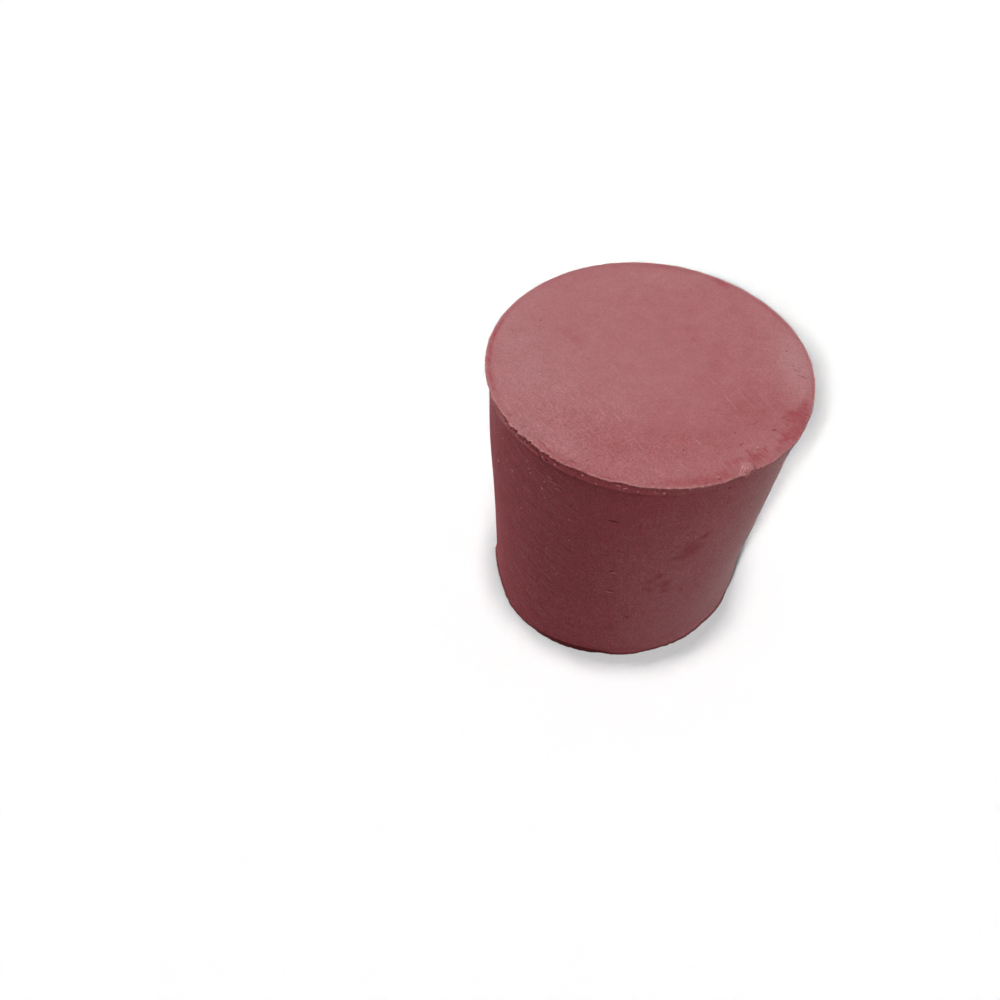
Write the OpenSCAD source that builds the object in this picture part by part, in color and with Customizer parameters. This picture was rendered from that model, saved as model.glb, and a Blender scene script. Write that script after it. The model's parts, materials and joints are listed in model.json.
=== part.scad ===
// Rubber stopper: a solid, slightly tapered plug for the neck of a flask or bottle.
// It is one compression-moulded piece of filled red rubber. All sizes are in millimetres.
// It stands on its narrow end. The origin is the centre of the narrow face, on the plane
// that the stopper stands on, and +Z runs up its axis to the wide face.
// Directions round the axis are in degrees from +X towards +Y.

/* [Plug] */
// Diameter of the side, carried up to the wide face
wide_d = 28; // [20:0.5:60]
// Diameter of the side, carried down to the narrow face
narrow_d = 25.2; // [16:0.2:56]
// Height from the narrow face to the wide face
height = 28.4; // [16:0.2:60]

/* [Collar] */
// Height of the collar that the upper mould half forms, from the wide face down
collar_h = 1.2; // [0.8:0.1:4]
// How far the two mould halves were out of line
mismatch = 0.2; // [0:0.05:0.4]
// Direction in which the upper half was out of line
mismatch_dir = 200; // [0:5:355]

/* [Wide flash] */
// How far the trimmed flash stands out past the side at the wide face
wide_flash = 0.35; // [0.25:0.05:0.8]
// Thickness of that flash at its trimmed edge
wide_flash_t = 0.28; // [0.15:0.01:0.5]
// Depth of the nibbled marks that the trimming left
wide_nibble = 0.05; // [0:0.01:0.1]
// How far the worn edge of the wide face drops below the flat of that face
edge_drop = 0.1; // [0.02:0.02:0.14]
// Width of that worn edge
edge_wear = 0.9; // [0.4:0.1:2]

/* [Narrow flash] */
// How far the torn flash stands out past the side at the narrow face
narrow_flash = 0.32; // [0.1:0.02:0.8]
// Thickness of that flash at its torn edge
narrow_flash_t = 0.22; // [0.1:0.01:0.5]
// Depth of the teeth that the tearing left
narrow_nibble = 0.14; // [0:0.02:0.25]

/* [Blister] */
// Width of the blister on the wide face
blister_d = 1.3; // [0.8:0.1:3]
// Height of the blister above the wide face
blister_h = 0.22; // [0.1:0.02:0.5]
// Direction of the blister from the axis
blister_dir = 300; // [0:5:355]
// Gap left between the blister and the edge of the flash
blister_inset = 0; // [0:0.05:1]

/* [Hidden] */
$fn = 144;

rubber = "#a8696f";

// Radius of the fillet that joins a flash to the side
flash_fillet = 0.12;
// How far one solid reaches into the next where the two are joined
joint_lap = 0.5;

// Corners of each ragged outline
wide_corners = 240;
narrow_corners = 240;
// Start numbers of the two runs of tear marks
wide_seed = 17;
narrow_seed = 52;

// Larger tears in each flash: [direction, half its width in degrees, share of the flash lost]
wide_tears = [
    [118, 34, 0.22],
    [206, 9, 0.2],
    [221, 9, 0.42],
    [241, 4, 0.34],
    [256, 2, 0.3],
    [294, 3, 0.5],
    [303, 4, 0.66],
    [314, 3, 0.24],
    [345, 12, 0.16]
];
narrow_tears = [
    [12, 5, 0.3],
    [58, 12, 0.45],
    [97, 3, 0.4],
    [140, 8, 0.3],
    [171, 4, 0.5],
    [228, 14, 0.35],
    [262, 3, 0.3],
    [288, 9, 0.45]
];

// Radius of the side at height z
function side_r(z) = (narrow_d + (wide_d - narrow_d) * z / height) / 2;

// Points along an arc of radius r round (x, y), from angle a0 to angle a1
function arc(x, y, r, a0, a1, steps = 6) =
    [for (i = [0:steps]) let (a = a0 + (a1 - a0) * i / steps) [x + r * cos(a), y + r * sin(a)]];

// The smaller turn between two directions
function turn(a, b) = let (d = abs(a - b) % 360) min(d, 360 - d);

// Share of the flash lost at direction a: a round-ended notch for each tear
function lost(tears, a) =
    max([for (t = tears) turn(a, t[0]) < t[1] ? t[2] * cos(90 * turn(a, t[0]) / t[1]) : 0]);

// A trimmed edge: a circle of radius r, cut back by its tears and by a run of small nibbles
module ragged_disc(r, flash, nibble, tears, corners, seed) {
    bites = rands(0, 1, corners, seed);
    polygon([
        for (i = [0:corners - 1])
            let (
                a = 360 * i / corners,
                edge = r - flash * lost(tears, a) - nibble * bites[i] * bites[i]
            )
            [edge * cos(a), edge * sin(a)]
    ]);
}

// Half the section of the plug, with a whole film of flash at each face. A small fillet joins
// each film to the side, and the edge of the wide face is worn down in one shallow arc, which
// starts level with that face.
module section() {
    low = narrow_flash_t;
    high = height - wide_flash_t;
    narrow_rim = narrow_d / 2 + narrow_flash;
    wide_rim = wide_d / 2 + wide_flash;
    fillet = flash_fillet;
    wear_r = (edge_wear * edge_wear + edge_drop * edge_drop) / (2 * edge_drop);
    wear_turn = asin(edge_wear / wear_r);
    polygon(concat(
        [[0, 0], [narrow_rim, 0], [narrow_rim, low]],
        arc(side_r(low) + fillet, low + fillet, fillet, 270, 180),
        arc(side_r(high) + fillet, high - fillet, fillet, 180, 90),
        [[wide_rim, high]],
        arc(wide_rim - edge_wear, height - wear_r, wear_r, 90 - wear_turn, 90),
        [[0, height]]
    ));
}

// What the trimming leaves: a ragged disc at each film of flash, and all that lies between.
// Each disc reaches on past its film, so that the three make one solid.
module trim_envelope() {
    linear_extrude(narrow_flash_t + joint_lap)
        ragged_disc(narrow_d / 2 + narrow_flash, narrow_flash, narrow_nibble,
            narrow_tears, narrow_corners, narrow_seed);
    translate([0, 0, narrow_flash_t])
        cylinder(h = height - narrow_flash_t - wide_flash_t, r = max(wide_d, narrow_d));
    translate([0, 0, height - wide_flash_t - joint_lap])
        linear_extrude(wide_flash_t + joint_lap)
            ragged_disc(wide_d / 2 + wide_flash, wide_flash, wide_nibble,
                wide_tears, wide_corners, wide_seed);
}

// The plug with both films of flash trimmed to their ragged edges
module trimmed_plug() {
    intersection() {
        rotate_extrude() section();
        trim_envelope();
    }
}

// The collar that the upper mould half formed. It is as wide as the side at its own lower
// edge, so it shows as a step only on the side to which that half was out of line. It reaches
// up as far as the worn edge does, so that no tear in the flash cuts into it.
module collar() {
    rotate(mismatch_dir)
        translate([mismatch, 0, height - collar_h])
            cylinder(h = collar_h - edge_drop, r = side_r(height - collar_h));
}

// The blister: the cap of a ball that stands out of the wide face, at its edge. The cap is cut
// off below that face, halfway through the flash, so it hangs over where the flash is torn.
module blister() {
    half = blister_d / 2;
    ball_r = (half * half + blister_h * blister_h) / (2 * blister_h);
    root = wide_flash_t / 2;
    rotate(blister_dir)
        translate([wide_d / 2 + wide_flash - blister_inset - half, 0, height])
            intersection() {
                translate([0, 0, blister_h - ball_r])
                    sphere(r = ball_r);
                translate([0, 0, -root])
                    cylinder(h = root + 2 * blister_h, r = ball_r);
            }
}

module stopper() {
    color(rubber)
        union() {
            trimmed_plug();
            collar();
            blister();
        }
}

stopper();
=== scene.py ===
# %% [markdown]
# # A solid stopper of red laboratory rubber
# The real stopper is one lump of red rubber, pressed and cured in a steel mould, which leaves it
# matt. Wax and chalk creep out of the rubber over the years and lie on it as a thin greyish
# film, called bloom. Where the two mould halves meet, rubber squeezes out as a film of flash,
# and someone trims it off by hand. Its looks are that bloom, the torn rim, and the rubs and
# dents of a drawer full of glassware.
#
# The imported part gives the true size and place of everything. This script adds a finer skin, a
# material, a floor, lights and a camera.

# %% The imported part
import json
from math import cos, pi, radians, sin

import bpy
import numpy as np
from mathutils import Matrix, Vector


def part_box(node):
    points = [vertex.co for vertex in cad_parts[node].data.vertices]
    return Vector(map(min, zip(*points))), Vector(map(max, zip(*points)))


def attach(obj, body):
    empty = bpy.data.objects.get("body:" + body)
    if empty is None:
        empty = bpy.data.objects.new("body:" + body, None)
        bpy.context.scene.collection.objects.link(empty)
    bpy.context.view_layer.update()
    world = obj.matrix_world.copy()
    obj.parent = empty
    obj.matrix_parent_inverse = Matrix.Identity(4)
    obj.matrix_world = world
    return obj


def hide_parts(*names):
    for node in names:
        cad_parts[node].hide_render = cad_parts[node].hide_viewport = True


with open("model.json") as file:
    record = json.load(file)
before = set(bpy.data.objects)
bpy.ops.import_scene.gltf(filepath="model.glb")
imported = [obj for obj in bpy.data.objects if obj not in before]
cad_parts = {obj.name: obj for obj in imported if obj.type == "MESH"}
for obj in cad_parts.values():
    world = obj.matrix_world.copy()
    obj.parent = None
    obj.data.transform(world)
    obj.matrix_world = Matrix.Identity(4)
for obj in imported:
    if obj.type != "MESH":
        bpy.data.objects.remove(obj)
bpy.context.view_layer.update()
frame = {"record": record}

MM = 0.001

# %% [markdown]
# ## Sizes
# Every size is in millimetres until a mesh is made. The rim and the height come from the packed
# part, so the skin follows the part if its size changes. The flash and the taper don't show in a
# box of corners, so they are repeated here with the part's own values.

# %% Sizes in millimetres
low, high = (np.array(corner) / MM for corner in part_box("stopper"))
mounts = {mount["name"]: mount for mount in frame["record"]["mounts"]}
face_z = mounts["wide_end"]["pos_m"][2] / MM
blister_h = high[2] - face_z

RIM_FLASH = 0.35
RIM_T = 0.28
BASE_FLASH = 0.32
BASE_T = 0.22
TAPER = 1.4
rim_r = (high[0] - low[0]) / 2
wide_r = rim_r - RIM_FLASH
narrow_r = wide_r - TAPER
base_r = narrow_r + BASE_FLASH
print(f"rim radius {rim_r:.2f}, side {wide_r:.2f} to {narrow_r:.2f}, face at {face_z:.2f} mm")

# %% [markdown]
# ## The camera
# The camera stands about 10 cm away and looks down at 56 degrees, so close that the side seems to
# taper more than it does. Turning it to frame the stopper would change the perspective, so it aims
# at a point on the floor beside it, and the shift slides the view across and up. In the hand it
# was not quite level.

# %% Camera
def in_scene(name, data):
    """A new object with this data, in the scene."""
    thing = bpy.data.objects.new(name, data)
    bpy.context.scene.collection.objects.link(thing)
    return thing


CAMERA_UP = radians(55.77)
CAMERA_ROLL = radians(0.9)
CAMERA_FAR = 103.4
AIM = (-14.75, -4.95, 0.0)

lens = bpy.data.cameras.new("camera")
lens.sensor_width = 36
lens.lens = 33.87
lens.shift_x = 0.022
lens.shift_y = 0.09
lens.clip_start = 1 * MM
camera = in_scene("camera", lens)
away = Vector((0, -cos(CAMERA_UP), sin(CAMERA_UP)))
camera_at = (Vector(AIM) + away * CAMERA_FAR) * MM
camera.matrix_world = (
    Matrix.Translation(camera_at)
    @ Matrix.Rotation(pi / 2 - CAMERA_UP, 4, "X")
    @ Matrix.Rotation(CAMERA_ROLL, 4, "Z")
)
bpy.context.scene.camera = camera
print("camera at", [round(v / MM, 1) for v in camera_at], "mm")

# %% [markdown]
# ## The skin as a grid
# The stopper is a turned shape, so its skin is a grid: columns run round it, and rows run from
# the middle of the wide face, over the rim, down the side and under it. A Screw modifier would
# give every column the same profile, but the torn rim needs one that changes as it goes round.
# So each row is an array, with a radius and a height for every column. Columns lie closer
# together at the front, where the rim is most torn.

# %% Columns round the axis
TURN = 2 * pi
COLUMNS = 600
FRONT = radians(260)
CROWDING = 0.35

even = TURN * np.arange(COLUMNS) / COLUMNS
azimuth = even - CROWDING * np.sin(even - FRONT)
print("columns are", round(np.diff(azimuth).min() * rim_r, 3), "mm apart at the closest")

# %% [markdown]
# ## Random values that repeat
# Torn rubber has no formula, but its roughness has a size. Two helpers give smooth random values
# of a chosen size: round the stopper for the torn edge, and in space for lumps. Each call has its
# own seed, so the stopper comes out the same each time. Two more fade a feature in and out.

# %% Helpers for random shapes
def ring(knots, seed):
    """Random values from -1 to 1 round the stopper: one at each of so many evenly spaced knots,
    joined by straight lines, with the last knot joined to the first."""
    values = np.random.default_rng(seed).uniform(-1, 1, knots)
    return np.interp(azimuth, TURN * np.arange(knots) / knots, values, period=TURN)


def cloud(points, size, seed):
    """Random values from -1 to 1 in space: one at each corner of cubes of this size. A point
    blends the 8 corners of its cube by its place x in it, smoothed to 3 x^2 - 2 x^3."""
    corners = np.random.default_rng(seed).uniform(-1, 1, (32, 32, 32))
    cell = np.floor(points / size).astype(int)
    inside = points / size - cell
    inside = inside * inside * (3 - 2 * inside)
    blended = np.zeros(points.shape[:-1])
    for bits in np.ndindex(2, 2, 2):
        weight = np.where(bits, inside, 1 - inside).prod(axis=-1)
        i, j, k = np.moveaxis((cell + bits) % 32, -1, 0)
        blended += weight * corners[i, j, k]
    return blended


def near(centre, half_width, azimuth=azimuth):
    """1 at an azimuth in degrees, falling to 0 at half_width degrees on each side of it, along
    half a wave of a cosine."""
    apart = np.abs((azimuth - radians(centre) + pi) % TURN - pi) / radians(half_width)
    return np.where(apart < 1, 0.5 + 0.5 * np.cos(pi * np.minimum(apart, 1)), 0)


def bell(distance, half):
    """1 where the distance is 0, falling along a bell curve: e to the minus square of the
    distance over half."""
    return np.exp(-((distance / half) ** 2))


def print_span(what, values):
    """Prints the least and most of some values."""
    print(what, "from", values.min().round(2), "to", values.max().round(2))


print_span("a ring of 5 knots", ring(5, 1))

# %% [markdown]
# ## The torn rim
# Trimmed flash is ragged at three sizes: long stretches where the scissors wandered, single
# tears where the film gave way, and fine nibbles all round. A curve drawn by hand would have one
# size only, so the edge is the full radius less those three. The rubber also left the mould a
# little out of round, so a few wide swells are added. The narrow end was torn by hand, not cut,
# so its teeth are deeper.

# %% Trimmed edges
# Each tear: its azimuth, half its width in degrees, and the share of the flash that it takes
RIM_TEARS = (
    (118, 68, 0.22), (206, 14, 0.2), (209.5, 1.3, 0.35), (214.5, 1.6, 0.4), (219, 1.2, 0.4),
    (221, 18, 0.3), (224.4, 1.1, 0.5), (229, 2, 0.4), (241, 6, 0.34), (256, 4, 0.3), (294, 5, 0.4),
    (303, 7, 0.5), (314, 6, 0.24), (345, 24, 0.16),
)
BASE_TEARS = (
    (12, 9, 0.3), (58, 22, 0.45), (97, 6, 0.4), (140, 15, 0.3), (171, 8, 0.5), (195, 25, 0.6),
    (228, 26, 0.35), (262, 6, 0.3), (288, 17, 0.45),
)
# Each swell: its azimuth, half its width in degrees, and how far it stands out
OUT_OF_ROUND = (
    (0, 70, 0.1), (90, 60, 0.1), (178, 60, 0.13), (258, 52, -0.17), (318, 18, 0.08),
)


def torn_edge(radius, flash, tears, nibble, seed):
    """The full radius, less the share of the flash that the deepest tear takes there, less fine
    nibbles: the square of ring values, so that most are shallow."""
    lost = np.max([share * near(at, wide) for at, wide, share in tears], axis=0)
    bites = ring(260, seed) ** 2 + 0.5 * ring(520, seed + 1) ** 2
    return radius - flash * lost - nibble * bites


ragged = near(220, 26) + 0.35 * near(290, 40) + 0.8 * near(301, 9)
rim = torn_edge(rim_r, RIM_FLASH, RIM_TEARS, 0.05, 17)
rim = rim + sum(out * near(at, wide) for at, wide, out in OUT_OF_ROUND)
rim = rim + ragged * (0.08 * ring(260, 23) + 0.11 * ring(560, 24))
base_rim = torn_edge(base_r, BASE_FLASH, BASE_TEARS, 0.07, 52)
print_span("rim radius", rim)

# %% [markdown]
# ## The side
# The side is a plain cone, with slight swellings where the rubber was squeezed or has settled
# over the years. They could be sculpted, but a bump on the cone is simpler, and keeps its place
# if the size changes.

# %% Radius of the side
# Each swelling: its azimuth, half its width in degrees, its height, half its length, its depth
SWELLINGS = (
    (335, 45, 18, 9, 0.12), (337, 24, 2.2, 4.2, 0.55), (228, 42, 0, 7, 0.4),
    (180, 40, 20.5, 7, 0.28),
)


def cone(z):
    """Radius of the plain side at height z, a straight taper, with each swelling added as a
    bump: a cosine round the stopper times a bell curve up it."""
    radius = narrow_r + TAPER * z / face_z
    for at, wide, middle, tall, out in SWELLINGS:
        radius = radius + out * near(at, wide) * bell(z - middle, tall)
    return radius


base_rim = base_rim + cone(0) - narrow_r
print_span("side radius at the foot", cone(0))

# %% [markdown]
# ## The collar
# The upper mould half sat a little out of line, so a shallow collar stands out on one side under
# the rim and sinks into the side on the other. A circle moved sideways gives just that. Its foot
# dips where rubber ran down the joint, and its top is drawn in under the lip, as rubber is when
# the film is pulled off before it is quite set.

# %% Radius and height of the collar
COLLAR_H = 1.2
COLLAR_OUT = 0.2
COLLAR_AT = 200
STEP_H = 0.06
COLLAR_FLARE = 0.08

collar_h = COLLAR_H + 0.65 * near(196, 26) - 0.03
flare = COLLAR_FLARE * np.maximum(near(226, 34), 0.7 * near(262, 44))


def collar_r():
    """Radius of the collar: a circle as wide as the side at the collar's lower edge, moved out
    of line, so its radius seen from the axis grows by the cosine of the angle between."""
    flush = narrow_r + TAPER * (face_z - COLLAR_H) / face_z
    return flush + COLLAR_OUT * np.cos(azimuth - radians(COLLAR_AT))


print_span("collar height", collar_h)

# %% [markdown]
# ## One profile in blocks of rows
# Each stretch of the profile is a block of rows. The blocks are stacked in order, and each keeps
# its name, because the material needs to know which rows are rim, collar or side.

# %% Helpers for rows
blocks = []


def rows(name, radius, height):
    """Keeps a block of rows. Radius and height spread to one value for each row and column."""
    radius, height = np.broadcast_arrays(radius, height)
    radius, height = (np.broadcast_to(a, (len(radius), COLUMNS)) for a in (radius, height))
    blocks.append((name, radius, height))


def steps(count, crowd=1.0):
    """A column of numbers above 0 and up to 1, which lie closer together near 1 if crowd is
    above 1: 1 less (1 - t) to that power."""
    t = np.arange(1, count + 1)[:, None] / count
    return 1 - (1 - t) ** crowd


print("a crowded column:", steps(4, 1.6).ravel().round(2))

# %% [markdown]
# ## The wide face and the lip
# The face is flat out to its worn edge, which drops a tenth of a millimetre in one shallow
# curve. The lip is the cut edge of the flash. It is thicker where the film was torn downwards:
# in a long stretch at the front left, and in the shred that hangs under the blister.

# %% Face, worn edge and lip
EDGE_WEAR = 0.9
EDGE_DROP = 0.1
LIP_BULGE = 0.02

t = steps(44, 1.6)
rows("face", (rim - EDGE_WEAR) * t, face_z)
t = steps(9)
rows("worn", rim - EDGE_WEAR * (1 - t), face_z - EDGE_DROP * t**2)
shred, long_tear = 0.3 * near(300, 5), 0.12 * near(218, 14)
lip_t = RIM_T + shred + long_tear
t = steps(4)
rows("lip", rim + LIP_BULGE * np.sin(pi * t), face_z - EDGE_DROP - (lip_t - EDGE_DROP) * t)
print_span("lip thickness", lip_t)

# %% [markdown]
# ## Under the lip
# The film of flash is flat underneath, and a small fillet joins it to the collar. Where the
# collar sinks into the side, each row takes the larger radius of the two. The collar ends in a
# small step.

# %% Fillet, collar and step
FILLET = 0.12

under_z = face_z - RIM_T
neck = np.maximum(cone(under_z), collar_r() - flare)
t = steps(3)
rows("under", rim + (neck + FILLET - rim) * t, face_z - lip_t + (lip_t - RIM_T) * t)
t = steps(4) * pi / 2
rows("under", neck + FILLET * (1 - np.sin(t)), under_z - FILLET * (1 - np.cos(t)))

top_z, foot_z = under_z - FILLET, face_z - collar_h
t = steps(10)
z = top_z + (foot_z - top_z) * t
rows("collar", np.maximum(cone(z), collar_r() - flare * (1 - t)), z)
t = steps(4)
z = foot_z - STEP_H * t
collar_out = np.maximum(collar_r() - cone(foot_z), 0)
rows("step", cone(z) + collar_out * (1 - t) ** 2, z)
print_span("collar stands out", collar_out)

# %% [markdown]
# ## The side and the foot
# The side runs down to a second fillet and a second film of flash, which the stopper stands on.
# The rows of the narrow face close in on its middle, as those of the wide face spread out from
# theirs.

# %% Side, foot and narrow face
top_z, foot_z = foot_z - STEP_H, BASE_T + FILLET
t = steps(56)
z = top_z + (foot_z - top_z) * t
rows("side", cone(z), z)

neck = cone(BASE_T)
t = steps(4) * pi / 2
rows("ledge", neck + FILLET * (1 - np.cos(t)), BASE_T + FILLET * (1 - np.sin(t)))
t = steps(2)
rows("ledge", neck + FILLET + (base_rim - neck - FILLET) * t, BASE_T + 0 * t)
t = steps(4)
rows("tooth", base_rim + LIP_BULGE * np.sin(pi * t), BASE_T * (1 - t))
t = (1 - np.arange(1, 18)[:, None] / 18) ** 0.7
rows("base", base_rim * t, 0 * t)

names = np.concatenate([[name] * len(radius) for name, radius, _ in blocks])
radius = np.vstack([radius for _, radius, _ in blocks])
height = np.vstack([height for _, _, height in blocks])
print(len(names), "rows of", COLUMNS, "columns")

# %% [markdown]
# ## Lumps and torn edges
# The grid so far is as clean as a drawing. Rubber from a worn mould is not: the face waves by a
# few hundredths of a millimetre, the side is faintly lumpy, the torn lip is rough, and the
# collar has pits where it was scraped. A Displace modifier knows nothing of rows, so each kind
# of row is pushed here along its radius or its height.

# %% Uneven rubber
def part_of(*wanted):
    """A column with 1 for the rows of these blocks and 0 for the others."""
    return np.isin(names, wanted)[:, None].astype(float)


def grid_points():
    """The x, y and z of each grid point, from its radius, azimuth and height."""
    return np.stack([radius * np.cos(azimuth), radius * np.sin(azimuth), height], axis=-1)


points = grid_points()
top_rows = part_of("face", "worn")
lip_rows = part_of("lip", "tooth")
side_rows = part_of("collar", "step", "side")
base_rows = part_of("base")
other_rows = 1 - top_rows - base_rows

# The waves of the two faces die out towards their rims
waves = 0.02 * cloud(points, 5.0, 1) * (1 - (radius / rim_r) ** 8)
hollow = (0.03 + 0.02 * cloud(points, 4.0, 2)) * (1 - (radius / base_r) ** 4)
lumps = 0.025 * cloud(points, 6.0, 3) + 0.008 * cloud(points, 1.2, 4)
scraped = 0.02 * cloud(points, 0.5, 5)
torn_bumps = 0.09 * cloud(points, 0.3, 7) * near(220, 24)
rough_lip = 0.03 * cloud(points, 0.22, 6)
PIT_DEPTH = 0.12
pits = part_of("collar") * near(226, 30) * np.clip(2 * cloud(points, 0.35, 8) - 0.5, 0, 1)

height = height + top_rows * waves + base_rows * hollow + part_of("worn") * torn_bumps
radius = radius + side_rows * lumps + part_of("collar") * scraped + lip_rows * rough_lip
radius = radius - PIT_DEPTH * pits
print_span("depth of pits", PIT_DEPTH * pits)

# %% [markdown]
# ## The blister
# A bubble of trapped air raised a small dome at the edge of the wide face: the cap of a ball. The
# grid is lifted to the ball where the ball is higher, so no second mesh has to be joined on.

# %% Blister on the wide face
BLISTER_D = 1.3
BLISTER_AT = radians(300)

centre_r = rim_r - BLISTER_D / 2
centre = centre_r * np.array([cos(BLISTER_AT), sin(BLISTER_AT)])
from_blister = points[..., :2] - centre
apart = np.hypot(from_blister[..., 0], from_blister[..., 1])
ball_r = (BLISTER_D**2 / 4 + blister_h**2) / (2 * blister_h)
cap = np.sqrt(np.maximum(ball_r**2 - apart**2, 0)) - (ball_r - blister_h)
height = np.where((top_rows > 0) & (cap > 0), np.maximum(height, face_z + cap), height)
points = grid_points()
print("skin box", points.min((0, 1)).round(2), points.max((0, 1)).round(2), "mm")

# %% [markdown]
# ## What each point of the skin has been through
# The material needs to know how much bloom is left at a place, where the rubber is rubbed bare,
# torn or dirty, and where shade and light are painted on. Painting that by hand would be lost in
# a script, so each is worked out from the azimuth, the radius and the height, and stored in the
# mesh as a number per point. On the wide face most are soft oval spots, and along its rim they
# are stretches of a line.

# %% Helpers for spots and lines
def spot(x, y, size, across, turned=0):
    """1 at the middle of an oval spot on the wide face and 0 outside it, as a bell curve of the
    distance over its half size along and across."""
    dx, dy = points[..., 0] - x, points[..., 1] - y
    c, s = cos(radians(turned)), sin(radians(turned))
    return bell(dx * c + dy * s, size) * bell(dy * c - dx * s, across)


def along_rim(at, wide, gap, half):
    """1 on a stretch of a line that runs along the rim at a gap inside it, and 0 away from it."""
    return near(at, wide) * bell(rim - radius - gap, half)


def sum_of(make, places):
    """The sum of several places, each with its own amount as its last number."""
    return sum(amount * make(*place) for *place, amount in places)


print("a spot at the middle covers", round(float(spot(0, 0, 2, 2).mean()), 3), "of the points")

# %% [markdown]
# ## Bloom and dust on the wide face
# The film is thickest where nobody touches it, and thinner towards the front, where the stopper
# is pushed with a thumb. Chalky dust lies on the left and along the right edge. Thin places have
# a negative amount.

# %% Film on the face
# Each spot: its x and y, half its length and its width, its turn in degrees, and its amount
FILM = (
    (-12, 4, 2.2, 6, 0, 0.04), (-10, 9, 2.5, 2.5, 0, 0.02), (-11, -2, 2.2, 3.5, 0, 0.04),
    (12.9, 0.5, 1.7, 4.5, 0, 0.2), (11, 6.5, 1.6, 3, 35, 0.1), (0, 10.5, 7, 2.5, 0, 0.05),
    (-4.5, 1, 1.2, 4, 0, 0.05), (-2.5, -5.5, 1.6, 2, 30, 0.1), (-7.8, -10, 2, 0.9, -38, 0.22),
    (8, -5, 3, 2.5, 0, -0.24), (5, -8.5, 4, 1.6, 20, -0.18), (0, -9, 5, 3, 0, -0.2),
    (-5, -9, 3, 1.3, -40, -0.16), (-9.5, -5.5, 3, 2, -35, -0.06), (10, -3, 2, 3, 0, -0.06),
    (4.2, 4.8, 0.9, 0.6, 20, -0.16), (6.2, 2.2, 0.6, 1.1, 0, -0.16), (4.5, 7.6, 0.8, 1, 0, -0.1),
    (-7, 4.2, 1.4, 0.7, 20, -0.22), (-6.3, 3, 0.6, 0.6, 0, -0.2), (-11.8, 4, 0.8, 0.6, 0, -0.16),
    (5.5, 0, 0.6, 1.6, -20, -0.1), (-9.5, 1.5, 1, 0.8, 0, -0.06), (4.3, 3.2, 0.4, 0.4, 0, -0.14),
)
FACE_DUST = (
    (-10, 1, 5, 9, 0, 0.16), (13, 0.5, 1.6, 4.5, 0, 0.28), (-12.4, 5, 1.2, 5, 0, 0.12),
    (-11.4, -8, 1.9, 0.4, -53, 0.18), (-10.5, 9, 1.5, 1.5, 0, 0.1),
    (-10.6, -6.8, 1.4, 0.3, -50, 0.12), (3, 12, 6, 1.2, 0, 0.1),
)
TOP_BLOOM = 0.69
# Painted highlight: extra film makes the blister's dome paler
blister_highlight = np.clip(cap / blister_h, 0, 1)
bare_lip = along_rim(222, 42, 0.1, 0.45)
top_film = TOP_BLOOM + sum_of(spot, FILM) + 0.35 * blister_highlight - 0.35 * bare_lip
top_dust = sum_of(spot, FACE_DUST)
print_span("film on the face", top_film)

# %% [markdown]
# ## Rubs, bands and grime on the wide face
# Something hard scraped the right edge of the face bare in ragged patches, which show deep red.
# Their edges are frayed on the right and soft at the front, so how much each point frays is kept
# too. A thin bare band runs just inside the rim where fingers hold it, and grime lies on the parts
# that stand proud.

# %% Rubs on the face
RUBS = (
    (12.1, -6.4, 1.3, 0.6, 62, 1.1), (12.6, -5, 0.9, 0.36, 70, 0.6),
    (13.2, -3.7, 0.9, 0.22, 76, 0.3), (11.4, -5.8, 0.6, 0.5, 60, 0.7),
    (11, -6.2, 0.3, 0.4, 60, 0.4), (11.6, -7.6, 0.8, 0.42, 57, 0.9),
    (10.6, -8.5, 0.9, 0.45, 52, 0.8), (10.2, -8, 0.4, 0.5, 52, 0.4),
    (9.9, -9.4, 0.7, 0.3, 50, 0.25), (8, -10.6, 0.7, 0.6, 38, 0.6), (7.7, -11, 0.7, 0.4, 36, 0.45),
    (9.2, -10.2, 0.6, 0.3, 45, 0.15), (7.2, -10.3, 0.5, 0.22, 100, 0.5),
    (8.6, -9.8, 0.5, 0.25, 110, 0.5), (5.8, -11.3, 1, 0.5, 30, 0.45),
    (5.1, -12.1, 0.9, 0.45, 28, 0.25), (4.4, -12.8, 1, 0.5, 20, 0.35),
    (2.8, -13.2, 1.2, 0.4, 10, 0.3), (0.8, -13.5, 1.4, 0.35, 4, 0.35),
    (12.7, -6.6, 0.6, 0.3, 62, -0.3), (7.8, 11.6, 1.4, 0.7, -30, 0.35),
)
# Each stretch below: its azimuth, half its width in degrees, its gap from the rim, half its
# width in millimetres, and its amount
BANDS = (
    (168, 34, 0.35, 0.18, 1.1), (190, 12, 0.4, 0.2, 0.5), (130, 30, 0.4, 0.3, 0.3),
    (82, 26, 0.45, 0.35, 0.5), (56, 7, 0.55, 0.5, 0.8), (30, 24, 0.35, 0.2, 0.5),
    (0, 22, 0.2, 0.12, 0.3), (262, 40, 0.3, 0.15, 0.25), (345, 14, 0.2, 0.15, 0.35),
)
GRIME_AT = (
    (216, 12, 0.5, 0.35, 0.55), (235, 18, 0.45, 0.25, 0.25), (326, 22, 0.12, 0.16, 0.8),
    (80, 40, 0.35, 0.3, 0.35), (350, 30, 0.1, 0.15, 0.5), (197, 10, 0.5, 0.4, 0.3),
)
RIM_RUBS = ((322, 26, 0.15, 0.45, 0.4), (285, 18, 0.2, 0.7, 0.5))
rub = top_rows * (sum_of(spot, RUBS) + sum_of(along_rim, RIM_RUBS))
fray = np.clip(rub / 0.4, 0, 1) * (1 - 0.75 * near(272, 34))
grime = top_rows * sum_of(along_rim, GRIME_AT)
band = top_rows * sum_of(along_rim, BANDS)
print_span("rub", rub)
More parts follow.
